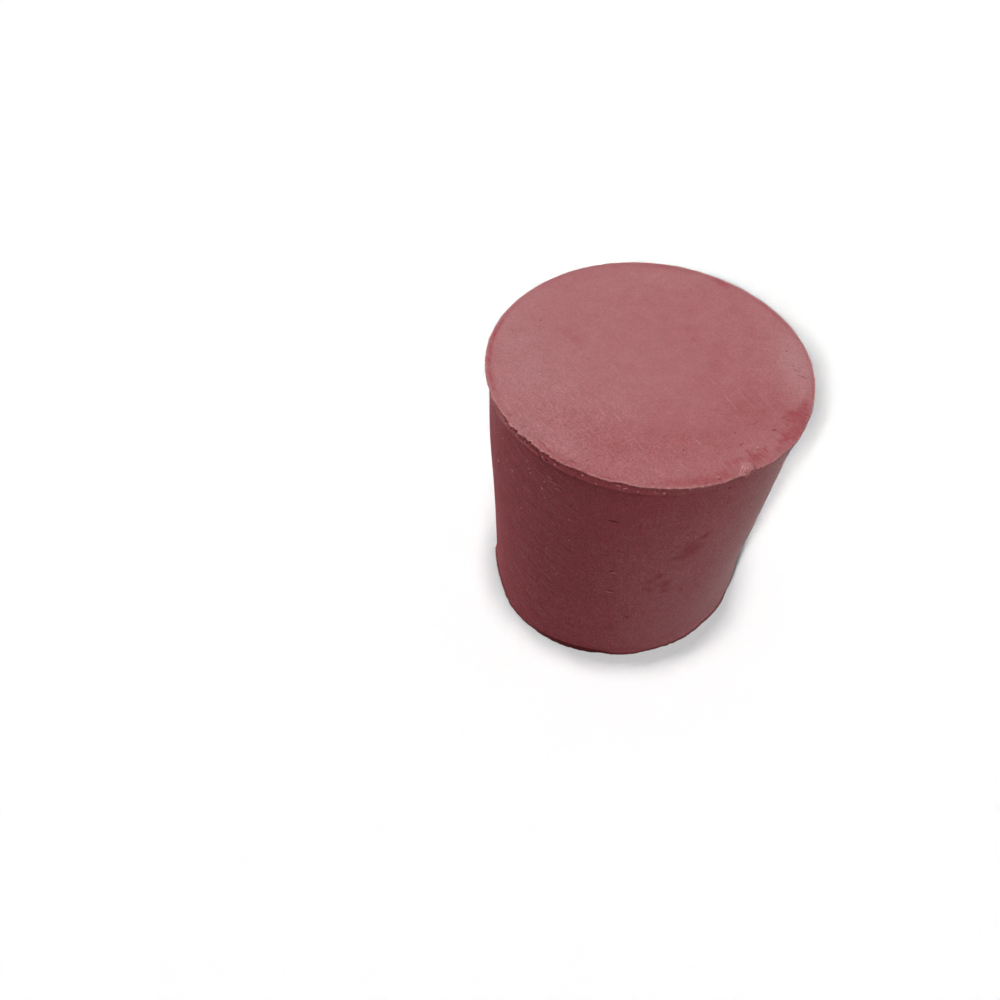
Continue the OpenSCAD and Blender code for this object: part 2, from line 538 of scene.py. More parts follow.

# %% [markdown]
# ## Bloom and dust on the side
# The side is handled more than the face. At the front left it is rubbed almost to bare rubber,
# and from there the film thickens to the right, where it turns to grey dust that nobody has
# wiped. Towards the right edge, where the side turns away, the same grey also paints a sheen.
# Little lies at the foot and just under the collar. The narrow face stands on the bench, so it
# is plain.

# %% Film on the side
BASE_BLOOM, BASE_DUST = 0.45, 0.1
# Each stretch of the side: its azimuth, half its width in degrees, and its amount
SIDE_FILM = ((222, 44, -0.2), (285, 50, 0.14), (350, 110, 0.9), (100, 90, 0.3))

depth = face_z - height
down = depth / face_z
side_film = sum(amount * near(at, wide) for at, wide, amount in SIDE_FILM)
bare_top = 0.3 * np.clip(down / 0.35, 0, 1) * (1 - near(222, 34)) - 0.3
on_collar = part_of("collar") * (0.1 + 0.45 * near(215, 30))
high_left = 0.6 * near(190, 30) * bell(down, 0.25)
bare_foot = 0.1 * near(277, 40) * bell(height, 2.5)
side_film = side_film + bare_top + on_collar + high_left - bare_foot
# Grey dust on the right, and a painted sheen where the side turns away at the right edge
side_dust_and_sheen = np.clip(1.2 * near(345, 50), 0, 0.75) * (1 - 0.75 * bell(height, 7))
bloom = top_rows * top_film + other_rows * side_film + BASE_BLOOM * base_rows
dust_and_sheen = top_rows * top_dust + other_rows * side_dust_and_sheen + BASE_DUST * base_rows
print_span("film on the side", side_film)

# %% [markdown]
# ## Torn edges and painted shade
# A tear shows fresh, paler rubber along the lip, and the same pale colour paints a highlight
# where the rim's edge catches the light. Painted shade darkens each corner where shade falls:
# under the flash, at the foot of the collar, in its pits, round the blister and along the foot
# of the stopper. The lights alone would leave these too pale, because the finest gaps are
# smaller than the grid.

# %% Edges and corners
# Paler torn rubber on the lip, and a painted highlight along the face's outer edge
torn = part_of("worn") * bell(rim - radius, 0.14)
torn = torn + 0.6 * part_of("lip") * (1 - 0.8 * near(222, 34))
torn = torn * (0.5 + 0.35 * near(280, 30) + 0.4 * near(215, 30))

# Painted shade where shade falls: under the flash, round the collar, along the foot, and round the
# blister, darkest on its upper right side
shade_under_rim = near(236, 64) * bell(depth - RIM_T, 0.12) * (1.2 + 0.8 * ring(260, 31))
shade_at_collar_foot = near(232, 60) * bell(collar_h - depth, 0.09)
shade_below_step = 0.5 * near(236, 44) * bell(depth - collar_h, 0.12)
shade_below_collar = 0.22 * near(242, 30) * bell(depth - 2.2, 1.2)
shade_at_foot = bell(base_rim - radius, 0.2 + 0.3 * near(248, 26)) * (1.5 + 1.3 * near(248, 28))
facing = np.arctan2(from_blister[..., 1], from_blister[..., 0])
shade_round_blister = bell(apart - BLISTER_D / 2, 0.07) * (0.15 + 0.55 * near(50, 80, facing))

# All painted shade: the rows under the flash, the step, the collar's pits and the masks above
painted_shade = part_of("under") + 0.9 * part_of("step") * np.clip(collar_out / COLLAR_OUT, 0, 1)
painted_shade = painted_shade + part_of("collar") * (shade_under_rim + 0.7 * shade_at_collar_foot + 1.1 * pits)
painted_shade = painted_shade + part_of("side") * (shade_below_step + shade_below_collar)
painted_shade = painted_shade + part_of("ledge", "tooth") * shade_at_foot + top_rows * shade_round_blister
painted_shade = np.maximum(painted_shade, 0)
# Painted light: the collar is lighter at the front left, where it stands out into the light
painted_collar_light = part_of("collar") * (0.3 * near(226, 50) + 0.1 * near(262, 40))
print_span("painted_shade", painted_shade)

# %% [markdown]
# ## Grain and streaks
# The face was cured against smooth steel and the side against a sandblasted mould, so the side
# has more grain. Wiping left fine parallel streaks on the face and slanting ones on the side.
# The slanting ones follow the length round the stopper, which is stored too. It starts at the
# back, so its seam is out of sight.

# %% Grain, streaks and all the traces
outer = np.clip(np.hypot(points[..., 0], points[..., 1]) / 10, 0, 1) ** 2
top_rough = 0.65 + outer * (0.2 + 0.8 * near(235, 100) + 0.3 * near(0, 60))
side_rough = 1.5 + 1.5 * near(225, 60)
rough = top_rows * top_rough + other_rows * side_rough + base_rows
WIPED = ((-7, -4, 6, 6, 0, 1.1), (8, -4, 3, 4, 0, 0.7), (0, -11, 5, 2, 0, 0.5))
streaks = top_rows * sum_of(spot, WIPED) + other_rows * near(222, 40)
turned_by = (azimuth - radians(90)) % TURN * rim_r

traces = {
    "bloom": bloom, "dust_and_sheen": dust_and_sheen, "rub": rub, "fray": fray, "band": band, "grime": grime,
    "torn": torn, "painted_shade": painted_shade, "painted_collar_light": painted_collar_light, "rough": rough, "streaks": streaks,
    "turned_by": turned_by,
}
for name, values in traces.items():
    traces[name] = np.broadcast_to(values, radius.shape)
    print_span(name, values)

# %% [markdown]
# ## From grid to mesh
# The two middles are single points, joined to the first and last rows by triangles, so the skin
# is closed. Between them, each four neighbours make a quad, listed so that its face points
# outwards. Edges of more than 50 degrees stay sharp, which keeps the rim and the foot crisp, and
# the rest is smooth.

# %% The mesh
# The number of each grid point in the mesh, row by row, and of the next one round
count = len(names)
ring_of = 1 + np.arange(count * COLUMNS).reshape(count, COLUMNS)
after = np.roll(ring_of, -1, axis=1)
top, foot = 0, 1 + count * COLUMNS
quads = np.stack([ring_of[:-1], ring_of[1:], after[1:], after[:-1]], axis=-1).reshape(-1, 4)
lid = np.stack([np.full(COLUMNS, top), ring_of[0], after[0]], axis=-1)
bottom = np.stack([np.full(COLUMNS, foot), after[-1], ring_of[-1]], axis=-1)

poles = np.array([[0, 0, points[0, :, 2].mean()], [0, 0, points[-1, :, 2].mean()]])
corners = np.vstack([poles[:1], points.reshape(-1, 3), poles[1:]]) * MM
mesh = bpy.data.meshes.new("stopper_skin")
mesh.from_pydata(corners, [], [*lid.tolist(), *quads.tolist(), *bottom.tolist()])
for name, values in traces.items():
    layer = mesh.attributes.new(name, "FLOAT", "POINT")
    whole = np.concatenate([values[0, :1], values.ravel(), values[-1, :1]])
    layer.data.foreach_set("value", whole.astype(np.float32))
mesh.shade_smooth()
mesh.set_sharp_from_angle(angle=radians(50))
mesh.validate()
skin = in_scene("stopper_skin", mesh)
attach(skin, "root")
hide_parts("stopper")
skin.data.calc_loop_triangles()
print(len(skin.data.loop_triangles), "triangles")

# %% [markdown]
# ## The rubber, and how its nodes are made
# Red laboratory rubber is natural rubber filled with chalk and coloured with iron oxide, cured
# against a matt steel mould. To the eye it is a brick-rose skin without gloss: a dull greyish film
# over a deeper red that shows wherever something rubbed it. Its nodes can be wired by hand in the
# Shader editor too, but a script can be read from top to bottom.

# %% Helpers for colours and nodes
def linear(code):
    """A hex sRGB colour as linear red, green, blue and alpha: the curve that screens undo."""
    values = [int(code[i : i + 2], 16) / 255 for i in (1, 3, 5)]
    return [v / 12.92 if v <= 0.04045 else ((v + 0.055) / 1.055) ** 2.4 for v in values] + [1]


def add(tree, kind, inputs=(), out=0, **settings):
    """One node of a kind, with its settings, and its inputs in order or by name, each a value
    or another node's output. Returns the chosen output, or the node if it has none."""
    node = tree.nodes.new("ShaderNode" + kind)
    for name, value in settings.items():
        setattr(node, name, value)
    for name, value in inputs.items() if isinstance(inputs, dict) else enumerate(inputs):
        if isinstance(value, bpy.types.NodeSocket):
            tree.links.new(value, node.inputs[name])
        else:
            node.inputs[name].default_value = value
    return node.outputs[out] if node.outputs else node


def blend(tree, strength, below, above):
    """A colour laid over another one, at a strength from 0 to 1."""
    return add(tree, "Mix", {0: strength, 6: below, 7: above}, out=2, data_type="RGBA")


def own_tree(holder):
    """The node tree of a material, a world or a light, with nothing in it yet."""
    holder.use_nodes = True
    holder.node_tree.nodes.clear()
    return holder.node_tree


BARE_RUBBER = "#9a474d"
print("bare rubber is", [round(v, 3) for v in linear(BARE_RUBBER)])

# %% [markdown]
# ## Marks made one at a time
# A random pattern can't put a scratch where a scratch is. Each mark that catches the eye is a
# small ellipsoid sunk in the surface: where the surface passes through it, the mark shows. A
# decal would need a UV map, and this needs only a place, a turn and three half sizes.

# %% Places for marks
DEEP = 0.7


def on_face(x, y, length, width, turned=0):
    """A mark on the wide face: its middle, its turn and its half sizes, in millimetres and
    degrees, and deep enough to reach the surface."""
    return (x, y, face_z), (0, 0, turned), (length / 2, width / 2, DEEP)


def on_side(at, z, length=0.2, width=0.2, tilt=0):
    """A mark on the side, at an azimuth and a height, with its length level if tilt is 0."""
    r = narrow_r + TAPER * z / face_z
    middle = (r * cos(radians(at)), r * sin(radians(at)), z)
    return middle, (0, tilt, at + 90), (length / 2, DEEP, width / 2)


def placed(face_marks, side_marks=()):
    """The places of marks from their numbers: those of the wide face, then those of the side."""
    return [on_face(*mark) for mark in face_marks] + [on_side(*mark) for mark in side_marks]


print("a mark on the side lies at", [round(v, 2) for v in on_side(260, 12)[0]])

# %% [markdown]
# ## Scratches and creases on the wide face
# Scratches run the same way, from back left to front right, and scrape the film to a pale
# line. Creases are short folds near the rim, where the rubber was bent while it was trimmed,
# and they show the red under the film.

# %% Scratches and creases
# Each mark: its x, its y, its length, its width and its turn
SCRATCHES = (
    (-4.5, -5.9, 2, 0.1, 121), (-5.6, -4.6, 1.8, 0.09, 129), (-3.2, -6.6, 2.2, 0.1, 121),
    (-7.2, -8.3, 1.9, 0.08, 140), (-6.1, -8.25, 3.6, 0.08, 123), (-1.6, -9.8, 0.8, 0.1, 118),
    (0.9, -10.7, 1, 0.1, 130), (1.5, -11.6, 1.6, 0.09, 122), (3.2, -9.2, 1.7, 0.1, 125),
    (6.3, -4, 1.9, 0.1, 115), (6.8, -5, 1.1, 0.08, 112), (9.7, -4.7, 1.8, 0.09, 125),
    (7.6, -3.5, 2.3, 0.07, 112), (5.3, -2, 2.1, 0.07, 123), (-6.6, -3.3, 2.2, 0.07, 128),
    (-6.2, -1, 1.7, 0.07, 126), (-5.9, -7.7, 1.8, 0.07, 125), (-8.9, -5.6, 2.4, 0.07, 120),
    (-8.2, -2.9, 2.6, 0.07, 128),
)
CREASES = (
    (-9.8, -9.45, 1.3, 0.13, -48), (-9.05, -10.4, 1.2, 0.12, -55), (-9.5, -9.75, 1, 0.1, -66),
    (-9.05, -10.45, 0.7, 0.1, -45), (-7.2, -11.55, 1.35, 0.12, -33), (-6.1, -11.4, 0.4, 0.1, 60),
    (-8.4, -6.6, 0.5, 0.12, 20), (7.3, -10.5, 0.9, 0.13, -74), (7.5, -11, 0.7, 0.13, 100),
    (6.75, -9.4, 0.75, 0.08, 46), (8.03, -9.91, 0.3, 0.22, 20), (-4.6, -13.15, 2, 0.12, -20),
    (-12.3, -6.4, 0.6, 0.12, -20), (10.9, -6.1, 0.7, 0.1, 35), (10.9, -7.2, 0.6, 0.1, 140),
    (8.3, -6.9, 0.8, 0.1, 39), (13.3, -1.3, 1.6, 0.1, 152), (12.9, -0.5, 1.2, 0.08, 150),
    (12.6, 0.1, 0.9, 0.08, 148), (7.45, -11.9, 0.9, 0.14, 62), (6.5, -10.95, 0.9, 0.12, 10),
    (10.8, -6.3, 0.7, 0.09, 8), (10.9, -7, 0.7, 0.09, -30), (11.3, -5.6, 0.6, 0.08, 10),
    (11.1, -6.6, 0.6, 0.08, -15),
)
print(len(SCRATCHES), "scratches and", len(CREASES), "creases")

# %% [markdown]
# ## Pinholes and cracks
# Air and grit in the mould leave pinholes, and a few longer cuts went deeper. Both are painted
# darker than the rubber round them, as shade in the holes, and the deeper cuts darker still.

# %% Pinholes and cracks
FACE_PINHOLES = (
    (1.9, -10.1, 0.22, 0.22), (6.7, -9.4, 0.5, 0.08, 46), (4.41, -13.17, 0.3, 0.16),
    (3.32, -13.61, 0.2, 0.16), (-9.4, 5.6, 0.2, 0.2), (12.4, 2, 0.24, 0.24),
    (6.4, -8.1, 0.24, 0.14, 60),
)
# On the side, each mark: its azimuth and its height, then its length, its width and its tilt
SIDE_PINHOLES = (
    (265, 22.6), (277, 21.5, 0.16), (275, 21.5, 0.2, 0.16), (253, 18.7), (263.5, 19.2, 0.2, 0.16),
    (284, 21, 0.3), (262.5, 16.75), (257.5, 16.8, 0.2, 0.16), (295.5, 25.5, 0.26, 0.24),
    (296, 24.5, 0.22), (291, 23.2), (289.5, 23.9), (291, 21.8), (312.5, 26.6, 0.26, 0.24),
    (315.5, 26, 0.2, 0.24), (312.5, 21.2, 0.24, 0.4, 20), (313.5, 20.2), (307.5, 19.3, 0.22, 0.3),
    (302.5, 18.2), (307, 17.5), (318.5, 17), (292, 14.4), (290.5, 11.5), (310, 4.5, 0.3),
    (271, 9.1, 0.3), (269.5, 7.5, 0.3, 0.3), (245.5, 5.2, 0.3), (266, 6.2, 0.3),
)
FACE_CRACKS = ((9.7, -7.7, 0.6, 0.12, 12),)
SIDE_CRACKS = (
    (255.7, 22.93, 1.25, 0.24, 3), (259.8, 12.1, 1.2, 0.2, 3), (259, 15.4, 0.6, 0.16),
    (294, 26.8, 0.32, 0.26), (280, 18.8, 0.5, 0.16), (206.5, 27.5, 0.3, 0.3, 20),
    (219.6, 27.7, 0.5, 0.24, 10), (223.6, 27.75, 0.5), (228.7, 27.5, 0.5, 0.24, 10),
)
pinholes = placed(FACE_PINHOLES, SIDE_PINHOLES)
cracks = placed(FACE_CRACKS, SIDE_CRACKS)
print(len(pinholes), "pinholes and", len(cracks), "cracks")

# %% [markdown]
# ## Loose bits and smudges
# Crumbs of trimmed flash cling to the side, the collar and the face, and catch the light. Short
# pale strokes on the blister are painted highlights on its dome, in the same colour. Smudges are
# the opposite: damp fingers took the film off in soft patches.

# %% Loose bits and smudges
# The first six are painted highlights on the blister's dome; the last two are crumbs
FACE_BITS_AND_HIGHLIGHTS = (
    (6.45, -11.95, 0.5, 0.09, 75), (6.6, -12.1, 0.5, 0.08, 85), (6.3, -12.2, 0.5, 0.09, 60),
    (6.8, -12.1, 0.4, 0.08, 110), (6.25, -12.5, 0.3, 0.1, 20), (6.5, -12.4, 0.4, 0.08, 95),
    (8.04, -9.64, 0.26, 0.12, 20), (4.41, -12.9, 0.34, 0.12, 10),
)
SIDE_BITS = (
    (219.5, 25.4, 0.26, 0.26), (220, 24.5, 0.34, 0.26, 30), (221, 24.1, 0.3, 0.22),
    (210, 21.9, 0.4, 0.26, 20), (228, 24.4, 0.3), (227, 23.3, 0.24, 0.4, -20), (228.5, 22.3, 0.24),
    (240.5, 18.1, 0.26), (239.5, 21.1, 0.24, 0.16), (203, 24.5, 0.16, 0.4, 25),
    (206, 22.3, 0.2, 0.3), (198, 20.3, 0.3, 0.5, 35), (214, 20.2), (216, 18, 0.26),
    (233, 19.4, 0.4, 0.1, 20), (231, 15, 0.26), (236.5, 11.9, 0.26), (259.8, 11.8, 0.9, 0.12, 3),
    (259.8, 15.15, 0.7, 0.1), (284.2, 20.75, 0.3, 0.14), (232, 24.9, 1.4, 0.1), (234, 24.4, 1, 0.1),
    (230, 25.3, 0.9, 0.1), (206.5, 27.3, 0.2, 0.3), (213.7, 27.5, 0.3, 0.3, 20),
    (218, 27.6, 0.3, 0.2, 40), (221.7, 27.2, 0.24, 0.24), (226.8, 27.5, 0.24, 0.3),
    (227.2, 27.1, 0.3, 0.3, 30), (232.1, 27.5, 0.24, 0.24), (242.7, 27.8, 0.2, 0.3),
    (247.7, 27.4, 0.3, 0.12), (255, 27.8, 0.6, 0.14, 10), (257.5, 27.65, 0.5, 0.16, -30),
    (261.8, 27.5, 0.26, 0.16), (267.3, 27.6, 0.3, 0.12), (270.4, 27.5, 0.24),
    (278.8, 27.7, 0.3, 0.12),
)
SMUDGES = (
    (287.8, 18.6, 3.2, 3.4, -25), (291.5, 20.2, 2.4, 1.1, -35), (284.5, 17.5, 2, 1.2, 10),
    (278, 14.8, 1.4, 2, 30), (275, 14, 1.1, 1.2), (281.4, 13.3, 2, 1.7), (282.2, 12.1, 1.2, 1.4),
    (275.7, 12.6, 1.7, 1.1, 20), (290, 11.6, 0.8, 0.6), (263.5, 5.2, 1.8, 1.9, 15),
    (270, 7.5, 1, 1.2),
)
bits_and_highlights = placed(FACE_BITS_AND_HIGHLIGHTS, SIDE_BITS)
print(len(bits_and_highlights), "loose bits and", len(SMUDGES), "smudges")

# %% [markdown]
# ## The material and its patterns
# Every pattern is noise with a real size in millimetres. Large clouds and mottle vary the film,
# middle sizes break up its edges, and the finest two are the grain of the mould, drawn as coarse
# as it needs to be to show at arm's length. Noise reads Object coordinates, so it is solid through
# the rubber, and has no seams as a wrapped image would.

# %% The tree, its traces and its noise
rubber = bpy.data.materials.new("moulded_red_rubber")
tree = own_tree(rubber)


def noise_in(space, scale, detail, roughness):
    """Noise in a space, with so many finer layers, each so much weaker than the last."""
    return add(tree, "TexNoise", {
        "Vector": space, "Scale": scale, "Detail": detail, "Roughness": roughness,
    })


def math(operation, *values, clamp=False):
    """A Math node of an operation on some values, each a number or a node's output."""
    return add(tree, "Math", values, operation=operation, use_clamp=clamp)


def remap(value, least, most, low_end=0, high_end=1):
    """A value that runs from least to most, as one that runs from one end to the other."""
    return add(tree, "MapRange", (value, least, most, low_end, high_end))


place = add(tree, "TexCoord", out="Object")
trace = {name: add(tree, "Attribute", out="Fac", attribute_name=name) for name in traces}

# Each pattern: its size in millimetres, its detail and its roughness, then the values of the
# noise between which it changes, and its amounts at those two
PATTERNS = {
    "clouds": (8, 2, 0.55, 0.3, 0.7, -0.07, 0.07),
    "mottle": (1.3, 4, 0.55, 0.3, 0.7, -0.09, 0.09),
    "stretches": (0.9, 3, 0.55, 0.35, 0.58, 0.45, 1),
    "patches": (0.8, 3, 0.55, 0.35, 0.62, 0.5, 1),
    "rags": (0.6, 3, 0.55, 0.3, 0.7, -0.35, 0.35),
    "dabs": (0.5, 3, 0.55, 0.33, 0.5, 0.3, 0.85),
    "flecks": (0.3, 2, 0.55, 0.4, 0.6, 0.14, 0.7),
    "grain": (0.2, 2, 0.8, 0.3, 0.7, -0.2, 0.2),
    "dirt": (0.17, 2, 0.55, 0.46, 0.6, 0, 1),
    "speckle": (0.13, 2, 0.8, 0.25, 0.75, -0.2, 0.2),
}
noise, pattern = {}, {}
for name, (size, detail, roughness, *ends) in PATTERNS.items():
    noise[name] = noise_in(place, 1 / (size * MM), detail, roughness)
    pattern[name] = remap(noise[name], *ends)
print(len(pattern), "patterns, the finest", min(PATTERNS.values())[0], "mm")

# %% [markdown]
# ## Streaks from wiping
# A cloth leaves lines that are long one way and fine the other. Stretched noise gives them: a
# Mapping node turns the space and draws it out. On the side, the space is first unrolled from
# the stored length round the stopper and the height, or the streaks would bend.

# %% Streaks
up = add(tree, "SeparateXYZ", (place,), out="Z")
around_mm = math("MULTIPLY", trace["turned_by"], MM)
unrolled = add(tree, "CombineXYZ", (around_mm, up))
on_wall = remap(up, (face_z - 1) * MM, (face_z - 0.4) * MM, 1, 0)

# Each kind: the space it lies in, its length, its width, its turn in degrees, the noise values
# between which it fades in, and its amount
wiped = []
for space, length, width, turned, least, most, amount in (
    (place, 2.4, 0.12, 123, 0.56, 0.74, 1.1), (unrolled, 3.0, 0.22, -22, 0.5, 0.72, 0.9),
):
    drawn_out = add(tree, "Mapping", {
        "Vector": space, "Rotation": (0, 0, radians(turned)),
        "Scale": (length * MM, width * MM, width * MM),
    }, vector_type="TEXTURE")
    wiped.append(remap(noise_in(drawn_out, 1, 2, 0.6), least, most, 0, amount))

streak = add(tree, "Mix", {0: on_wall, 2: wiped[0], 3: wiped[1]}, data_type="FLOAT")
streak = math("MULTIPLY", streak, trace["streaks"])
print(len(wiped), "kinds of streak")

# %% [markdown]
# ## The film of bloom
# The film is the stored amount, plus clouds, mottle and grain, plus the streaks, kept between 0
# and 1. It mixes bare rubber with bloom. Plain noise would spread the film evenly, while the
# stored amount puts it where it lies.

# %% Film
BLOOM = "#af7477"
STREAK_FILM = 0.6

film = math("ADD", trace["bloom"], pattern["clouds"])
film = math("ADD", film, pattern["mottle"])
film = math("MULTIPLY_ADD", pattern["grain"], trace["rough"], film, clamp=True)
film = math("MULTIPLY_ADD", streak, STREAK_FILM, film, clamp=True)
skin_colour = blend(tree, film, linear(BARE_RUBBER), linear(BLOOM))
print("the film has", len(tree.nodes), "nodes so far")

# %% [markdown]
# ## Rubs with combed edges
# What scraped the face ran outwards over the rim, and left its edges combed. So the noise that
# frays a rub is wrapped: fine round the stopper and long outwards. The direction from the axis,
# as a vector of length one, gives the way round, and its length gives the way out.

# %% Rubs
COMB_TOOTH = 0.24
COMB_LONG = 1.3

from_axis = add(tree, "VectorMath", (place, (1, 1, 0)), operation="MULTIPLY")
way_out = add(tree, "VectorMath", (from_axis,), operation="NORMALIZE")
out_by = add(tree, "VectorMath", (from_axis,), out="Value", operation="LENGTH")
scaled = {0: way_out, "Scale": rim_r / COMB_TOOTH}
way_round = add(tree, "VectorMath", scaled, operation="SCALE")
outward = add(tree, "CombineXYZ", {"Z": math("DIVIDE", out_by, COMB_LONG * MM)})
wrapped = add(tree, "VectorMath", (way_round, outward), operation="ADD")
comb = noise_in(wrapped, 1, 3, 0.5)

teeth = math("ADD", remap(comb, 0.3, 0.7, -0.4, 0.4), pattern["rags"])
frayed = math("MULTIPLY_ADD", teeth, trace["fray"], trace["rub"])
rubbed = math("MULTIPLY", remap(frayed, 0.12, 0.85), pattern["patches"])
bands = math("MULTIPLY", trace["band"], pattern["stretches"])
rubbed = math("MAXIMUM", rubbed, bands)
print("comb teeth are", COMB_TOOTH, "mm apart")

# %% [markdown]
# ## Nodes for the single marks
# A spherical Gradient texture is a ball: 1 in the middle and 0 at its skin. Its own texture
# mapping places, turns and stretches it. A Mapping node would do that too, at one more node for
# each of more than a hundred marks. The strongest ball wins.

# %% Marks
def marks(places, soft=0.5, strength=1):
    """This strength in the middle of each mark and 0 outside: the highest of the balls, raised
    so that only the outer part of this softness fades."""
    strongest = 0.0
    for middle, turned, half in places:
        ball = add(tree, "TexGradient", (place,), out=1, gradient_type="SPHERICAL")
        own = ball.node.texture_mapping
        own.vector_type = "TEXTURE"
        own.translation = [v * MM for v in middle]
        own.rotation = [radians(v) for v in turned]
        own.scale = [v * MM for v in half]
        strongest = math("MAXIMUM", strongest, ball)
    return remap(strongest, 0, 1 - soft, 0, strength)


smudged = math("MULTIPLY", marks(placed((), SMUDGES), 0.25), pattern["dabs"])
rubbed = math("MAXIMUM", rubbed, smudged)
creased = marks(placed(CREASES), 0.3)
rubbed = math("MAXIMUM", rubbed, math("MULTIPLY", creased, 0.9))
scratched = marks(placed(SCRATCHES), 0.3, strength=0.6)
# Pale crumbs, and painted highlights on the blister
bits = marks(bits_and_highlights, strength=0.65)
# Painted shade in the pinholes and cracks, which also dents the bump
cuts = math("MAXIMUM", marks(pinholes, strength=0.6), marks(cracks, strength=0.9))
print(len(tree.nodes), "nodes with the marks")

# %% [markdown]
# ## Layers of colour
# The rest is paint over paint, in the order in which it came: dust and a painted sheen on the
# film, then grime, bare rubs, scratches, loose bits and painted highlights, torn rubber with a
# painted highlight, and painted shade in corners and holes. Each layer is a strength and a colour,
# mixed over what is below it.

# %% Layers
# Pale grey for dust, the painted sheen and the scratches
DUST_AND_SHEEN = "#b99290"
GRIME = "#8f6a6c"
# Pale pink of crumbs and of painted highlights
BITS_AND_HIGHLIGHTS = "#e4a09e"
# Paler torn rubber, also used as a painted highlight along the rim's edge
TORN_RUBBER_AND_HIGHLIGHT = "#c4928c"
# Dark red of painted shade in corners and holes, and of the smudges
SHADE_AND_SMUDGE_RED = "#4a1014"
PAINTED_SHADE_STRENGTH, SMUDGE_SHADE = 0.45, 0.12

grimy = math("MULTIPLY", trace["grime"], pattern["dirt"])
fresh_and_highlight = math("MULTIPLY", trace["torn"], pattern["flecks"])
# Painted shade in corners, pinholes and cracks, and the darker red of the smudges
dark = math("MAXIMUM", math("MULTIPLY", trace["painted_shade"], PAINTED_SHADE_STRENGTH), cuts)
dark = math("MAXIMUM", dark, math("MULTIPLY", smudged, SMUDGE_SHADE))

for strength, code in (
    (trace["dust_and_sheen"], DUST_AND_SHEEN), (grimy, GRIME), (rubbed, BARE_RUBBER), (scratched, DUST_AND_SHEEN),
    (bits, BITS_AND_HIGHLIGHTS), (fresh_and_highlight, TORN_RUBBER_AND_HIGHLIGHT), (dark, SHADE_AND_SMUDGE_RED),
):
    skin_colour = blend(tree, strength, skin_colour, linear(code))
print(len(tree.nodes), "nodes with the layers")

# %% [markdown]
# ## Grain, and the shader
# Last, the colour is scaled up and down a little by the finest grain, and scaled up on the
# collar by painted light.
# A bump a few hundredths of a millimetre high follows the grain, the cuts and the creases. The
# shader is a plain Principled one, with a roughness of 0.82 for matt rubber. A chalky film
# scatters light and hardly shines, so its specular level is less than half the usual 0.5.

# %% Shader
BUMP = 0.02 * MM

speckle = math("MULTIPLY_ADD", pattern["rags"], 0.1, pattern["speckle"])
speckle = math("MULTIPLY_ADD", speckle, trace["rough"], 1.0)
# Painted light on the collar raises its colour
speckle = math("ADD", speckle, trace["painted_collar_light"])
skin_colour = add(tree, "VectorMath", {0: skin_colour, "Scale": speckle}, operation="SCALE")

relief = math("MULTIPLY", noise["grain"], trace["rough"])
relief = math("MULTIPLY_ADD", noise["mottle"], 1.5, relief)
relief = math("SUBTRACT", relief, cuts)
relief = math("MULTIPLY_ADD", creased, -2.0, relief)
bump = add(tree, "Bump", {"Distance": BUMP, "Height": relief})
shader = add(tree, "BsdfPrincipled", {
    "Base Color": skin_colour, "Roughness": 0.82, "IOR": 1.52, "Specular IOR Level": 0.22,
    "Normal": bump,
})
add(tree, "OutputMaterial", (shader,))
skin.data.materials.append(rubber)
print("rubber has", len(tree.nodes), "nodes, and a bump of", round(BUMP / MM, 3), "mm")

# %% [markdown]
# ## The floor
# Plain white paper on a bench: one square, a hair below the stopper so that the two surfaces don't
# lie in one plane. It is white to the camera, but dull to the light that bounces from it, as a
# bench would be, so it doesn't fill the shade on the side. Light Path tells the rays apart.

# %% Floor
def seen_or_bounced(tree):
    """1 for rays from the camera, mirror rays and rays through glass, which see the backdrop,
    and 0 for the soft light that bounces from it."""
    rays = add(tree, "LightPath").node.outputs
    seen = add(tree, "Math", (rays["Is Camera Ray"], rays["Is Glossy Ray"]), operation="MAXIMUM")
    return add(tree, "Math", (seen, rays["Is Transmission Ray"]), operation="MAXIMUM")


FLOOR_HALF = 1.5
FLOOR_GAP = 0.02 * MM
FLOOR_SEEN = "#7c7c7c"
FLOOR_BOUNCED = "#282626"

square = ((-1, -1), (1, -1), (1, 1), (-1, 1))
floor_corners = [(x * FLOOR_HALF, y * FLOOR_HALF, -FLOOR_GAP) for x, y in square]
floor_mesh = bpy.data.meshes.new("floor")
floor_mesh.from_pydata(floor_corners, [], [(0, 1, 2, 3)])
floor = in_scene("floor", floor_mesh)

paper = bpy.data.materials.new("white_floor")
sheet = own_tree(paper)
tint = blend(sheet, seen_or_bounced(sheet), linear(FLOOR_BOUNCED), linear(FLOOR_SEEN))
add(sheet, "OutputMaterial", (add(sheet, "BsdfDiffuse", (tint,)),))
floor.data.materials.append(paper)
print("floor is", 2 * FLOOR_HALF, "m wide")

# %% [markdown]
# ## The sky
# A dim even sky lights the face about twice as much as the side, which sees half of it. It is
# white to the camera, for a clean background, and dimmer to the stopper.

# %% Sky
SKY = 0.46

world = bpy.data.worlds.new("sky")
bpy.context.scene.world = world
sky_tree = own_tree(world)
strength = add(sky_tree, "Mix", {0: seen_or_bounced(sky_tree), 2: SKY, 3: 1.0}, data_type="FLOAT")
sky = add(sky_tree, "Background", {"Color": (1, 1, 1, 1), "Strength": strength})
add(sky_tree, "OutputWorld", (sky,))
print("sky strength", SKY)

# %% [markdown]
# ## Two wide suns on the stopper
# Soft window light comes from high on the right and from behind on the left, so the side is dark
# at the front left and paler to the right. A sun can be as wide as a window through its angle.
# Its energy is worked out from what it adds on an upright wall: the wall gets the sine of the
# sun's tilt, and a sun of strength pi makes white paper white. Light linking keeps both off the
# floor, which has its own lamps.

# %% Suns
# Each sun: what it adds on a wall, its tilt, its azimuth and how wide it is, in degrees
SUNS = {"right": (0.15, 35, 305, 50), "left": (0.35, 49, 145, 30)}


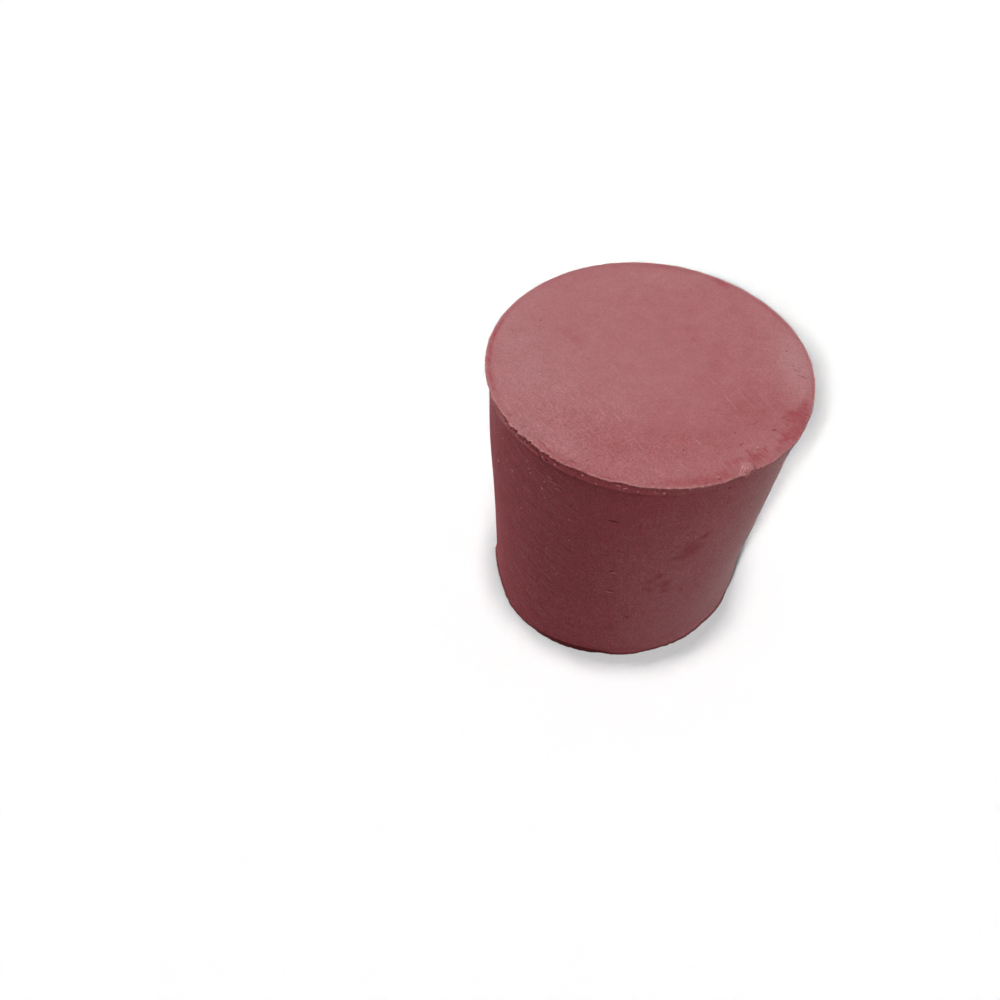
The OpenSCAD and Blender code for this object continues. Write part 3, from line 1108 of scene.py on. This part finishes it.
def lamp(name, kind, energy, lit, **settings):
    """A light of a kind that falls only on one object, although everything casts its shadow."""
    light = bpy.data.lights.new(name, kind)
    light.energy = energy
    for setting, value in settings.items():
        setattr(light, setting, value)
    group = bpy.data.collections.new("only_" + lit.name)
    group.objects.link(lit)
    made = in_scene(name, light)
    made.light_linking.receiver_collection = group
    return made


def aim(thing, tilt, at):
    """Turns a sun so that it comes from this azimuth, tilted this far from straight above."""
    tilt, at = radians(tilt), radians(at)
    towards = Vector((sin(tilt) * cos(at), sin(tilt) * sin(at), cos(tilt)))
    thing.rotation_euler = towards.to_track_quat("Z", "Y").to_euler()


for name, (added, tilt, at, wide) in SUNS.items():
    energy = pi * added / sin(radians(tilt))
    aim(lamp(name, "SUN", energy, skin, angle=radians(wide)), tilt, at)
    print("sun on the", name, "has strength", round(energy, 2))

# %% [markdown]
# ## Two lamps on the floor
# The shadows on the floor are small and soft: a dark edge round the foot, where the wide rim
# hangs over it, and a narrow shadow along the right. A sun nearly overhead gives the first, and
# a small lamp beside the lens gives the second. A lamp so near would light the floor in a pool.
# Constant falloff takes the distance out of it, and the ray's length takes out the slant. Its
# energy is spread over a ball of directions, so 4 pi goes in, and pi again for white paper.

# %% Lamps on the floor
ABOVE_ON_FLOOR = 2.55
above = lamp("above", "SUN", pi * ABOVE_ON_FLOOR, floor, angle=radians(6.5))
aim(above, 1.7, 125)

BESIDE_ON_FLOOR = 2.25
BESIDE_LENS = Vector((-3.7, 0.9, 0.6))
BESIDE_R = 3.0
beside_at = camera_at + BESIDE_LENS * MM
beside_energy = 4 * pi * pi * BESIDE_ON_FLOOR / beside_at.z
beside = lamp("beside_lens", "POINT", beside_energy, floor, shadow_soft_size=BESIDE_R * MM)
beside.location = beside_at
even_light = own_tree(beside.data)
constant = add(even_light, "LightFalloff", {"Strength": 1.0}, out="Constant")
ray_length = add(even_light, "LightPath", out="Ray Length")
evened = add(even_light, "Math", (constant, ray_length), operation="MULTIPLY")
add(even_light, "OutputLight", (add(even_light, "Emission", {"Strength": evened}),))
print("lamp beside the lens at", [round(v / MM, 1) for v in beside_at], "mm")

# %% [markdown]
# ## The end
# The view transform is Standard, so that colours come out as they are written.

# %% View transform
bpy.context.scene.view_settings.view_transform = "Standard"
